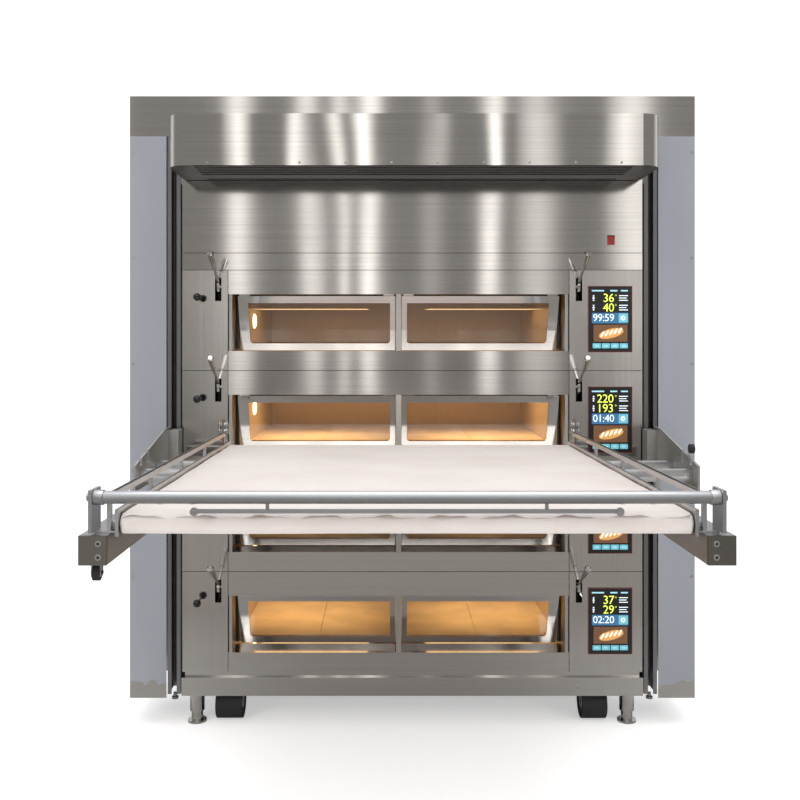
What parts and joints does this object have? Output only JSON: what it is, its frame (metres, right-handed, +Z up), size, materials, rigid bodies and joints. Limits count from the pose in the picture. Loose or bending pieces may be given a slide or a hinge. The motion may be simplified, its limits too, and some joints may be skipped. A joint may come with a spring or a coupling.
{
  "type": "deck oven",
  "caption": "Multi-deck stone hearth bakery oven with top extraction hood, lift loader on side columns and a canvas belt setter.",
  "frame": {"origin": "on the floor, under the centre of the whole machine's bounding box", "axes": "+X to the right seen from the front, +Y from the front to the back, +Z up; the doors face -Y"},
  "size_m": [2.18, 3.1, 2.432],
  "materials": {
    "stainless": "brushed",
    "dark_steel": "satin",
    "fork_steel": "zinc plated",
    "film_steel": "protective film",
    "liner_steel": "aluminised",
    "stone": "matt",
    "wool": "matt",
    "glass": "clear",
    "lamp": "frosted",
    "screen": "gloss",
    "black_plastic": "gloss",
    "red_plastic": "gloss",
    "aluminium": "anodised",
    "iron": "raw",
    "tyre": "satin",
    "canvas": "woven",
    "chrome": "polished"
  },
  "bodies": {
    "root": {"base_frame": "stainless", "legs": "stainless", "rear_castor_forks": "fork_steel", "outer_casing": "stainless", "insulation": "wool", "chambers": "liner_steel", "hearth_stones": "stone", "heating_rods": "dark_steel", "chamber_lamps": "lamp", "deck_fascias": "stainless", "door_jambs": "stainless", "front_panels": "stainless", "screens": "screen", "top_fascia": "stainless", "hood": "stainless", "hood_slats": "stainless", "lintel": "stainless", "side_covers": "film_steel", "lift_columns": "dark_steel", "lift_chains": "dark_steel", "panel_screws": "chrome"},
    "front_fork_left": {"front_fork_left": "fork_steel"},
    "front_fork_right": {"front_fork_right": "fork_steel"},
    "front_wheel_left": {"front_wheel_left": "tyre"},
    "front_wheel_right": {"front_wheel_right": "tyre"},
    "rear_wheels": {"rear_wheels": "tyre"},
    "power_switch": {"power_switch": "red_plastic"},
    "lift_shaft": {"lift_shaft": "fork_steel"},
    "counterweights": {"counterweights": "iron"},
    "support_wheel": {"support_wheel": "tyre"},
    "release_bar": {"release_bar": "chrome"},
    "front_roller": {"front_roller": "aluminium"},
    "nose_roller": {"nose_roller": "aluminium"},
    "carriage": {"carriage": "stainless", "cross_bars": "aluminium", "loader_beams": "aluminium"},
    "setter": {"setter_frame": "aluminium", "setter_rails": "aluminium", "handle_bar": "chrome", "canvas_belt": "canvas"},
    "door_1_left": {"door_1_left": "stainless", "glass_1_left": "glass"},
    "door_1_right": {"door_1_right": "stainless", "glass_1_right": "glass"},
    "damper_1": {"damper_1": "black_plastic"},
    "door_2_left": {"door_2_left": "stainless", "glass_2_left": "glass"},
    "door_2_right": {"door_2_right": "stainless", "glass_2_right": "glass"},
    "damper_2": {"damper_2": "black_plastic"},
    "door_3_left": {"door_3_left": "stainless", "glass_3_left": "glass"},
    "door_3_right": {"door_3_right": "stainless", "glass_3_right": "glass"},
    "damper_3": {"damper_3": "black_plastic"},
    "door_4_left": {"door_4_left": "stainless", "glass_4_left": "glass"},
    "door_4_right": {"door_4_right": "stainless", "glass_4_right": "glass"},
    "damper_4": {"damper_4": "black_plastic"}
  },
  "joints": [
    {"name": "door_1_left_swing", "type": "hinge", "parent": "root", "child": "door_1_left", "pos_m": [-0.053, 0.075, 1.698], "axis": [1, 0, 0], "range_deg": [0, 62]},
    {"name": "door_1_right_swing", "type": "hinge", "parent": "root", "child": "door_1_right", "pos_m": [-0.053, 0.075, 1.698], "axis": [1, 0, 0], "range_deg": [0, 62]},
    {"name": "damper_1_pull", "type": "slide", "parent": "root", "child": "damper_1", "axis": [0, -1, 0], "range_m": [0, 0.05]},
    {"name": "door_2_left_swing", "type": "hinge", "parent": "root", "child": "door_2_left", "pos_m": [-0.053, 0.075, 1.309], "axis": [1, 0, 0], "range_deg": [0, 62]},
    {"name": "door_2_right_swing", "type": "hinge", "parent": "root", "child": "door_2_right", "pos_m": [-0.053, 0.075, 1.309], "axis": [1, 0, 0], "range_deg": [0, 62]},
    {"name": "damper_2_pull", "type": "slide", "parent": "root", "child": "damper_2", "axis": [0, -1, 0], "range_m": [0, 0.05]},
    {"name": "door_3_left_swing", "type": "hinge", "parent": "root", "child": "door_3_left", "pos_m": [-0.053, 0.075, 0.92], "axis": [1, 0, 0], "range_deg": [0, 62]},
    {"name": "door_3_right_swing", "type": "hinge", "parent": "root", "child": "door_3_right", "pos_m": [-0.053, 0.075, 0.92], "axis": [1, 0, 0], "range_deg": [0, 62]},
    {"name": "damper_3_pull", "type": "slide", "parent": "root", "child": "damper_3", "axis": [0, -1, 0], "range_m": [0, 0.05]},
    {"name": "door_4_left_swing", "type": "hinge", "parent": "root", "child": "door_4_left", "pos_m": [-0.053, 0.075, 0.531], "axis": [1, 0, 0], "range_deg": [0, 62]},
    {"name": "door_4_right_swing", "type": "hinge", "parent": "root", "child": "door_4_right", "pos_m": [-0.053, 0.075, 0.531], "axis": [1, 0, 0], "range_deg": [0, 62]},
    {"name": "damper_4_pull", "type": "slide", "parent": "root", "child": "damper_4", "axis": [0, -1, 0], "range_m": [0, 0.05]},
    {"name": "power_switch_rock", "type": "hinge", "parent": "root", "child": "power_switch", "pos_m": [0.769, 0.058, 1.878], "axis": [1, 0, 0], "range_deg": [-18, 0]},
    {"name": "front_swivel_left", "type": "hinge", "parent": "root", "child": "front_fork_left", "pos_m": [-0.69, 0.1605, 0.16], "axis": [0, 0, 1], "continuous": true},
    {"name": "front_roll_left", "type": "hinge", "parent": "front_fork_left", "child": "front_wheel_left", "pos_m": [-0.71543, 0.13226, 0.0635], "axis": [0.7431, -0.6691, 0], "continuous": true},
    {"name": "front_swivel_right", "type": "hinge", "parent": "root", "child": "front_fork_right", "pos_m": [0.69, 0.1605, 0.16], "axis": [0, 0, 1], "continuous": true},
    {"name": "front_roll_right", "type": "hinge", "parent": "front_fork_right", "child": "front_wheel_right", "pos_m": [0.71234, 0.12976, 0.0635], "axis": [0.809, 0.5878, 0], "continuous": true},
    {"name": "rear_roll", "type": "hinge", "parent": "root", "child": "rear_wheels", "pos_m": [0, 1.4015, 0.0635], "axis": [1, 0, 0], "continuous": true},
    {"name": "lift", "type": "slide", "parent": "root", "child": "carriage", "axis": [0, 0, 1], "range_m": [-0.778, 0.389]},
    {"name": "counterweight_run", "type": "slide", "parent": "root", "child": "counterweights", "axis": [0, 0, 1], "range_m": [-0.389, 0.778]},
    {"name": "lift_shaft_turn", "type": "hinge", "parent": "root", "child": "lift_shaft", "pos_m": [0, 0.138, 2.353], "axis": [1, 0, 0], "range_deg": [-450, 900]},
    {"name": "setter_run", "type": "slide", "parent": "carriage", "child": "setter", "axis": [0, 1, 0], "range_m": [0, 0.14]},
    {"name": "release_press", "type": "slide", "parent": "setter", "child": "release_bar", "axis": [0, 0, 1], "range_m": [0, 0.006], "stiffness_N_per_m": 3000, "springref_m": -0.004},
    {"name": "front_roller_turn", "type": "hinge", "parent": "setter", "child": "front_roller", "pos_m": [-0.053, -1.491, 1.0816], "axis": [1, 0, 0], "continuous": true},
    {"name": "nose_roller_turn", "type": "hinge", "parent": "setter", "child": "nose_roller", "pos_m": [-0.053, -0.1254, 1.0936], "axis": [1, 0, 0], "continuous": true},
    {"name": "support_wheel_turn", "type": "hinge", "parent": "carriage", "child": "support_wheel", "pos_m": [-0.723, -1.516, 0.981], "axis": [1, 0, 0], "continuous": true}
  ],
  "couplings": [
    {"joint": "counterweight_run", "follows": "lift", "ratio": -1},
    {"joint": "lift_shaft_turn", "follows": "lift", "rad_per_m": -20},
    {"joint": "nose_roller_turn", "follows": "front_roller_turn", "ratio": 2.5}
  ]
}
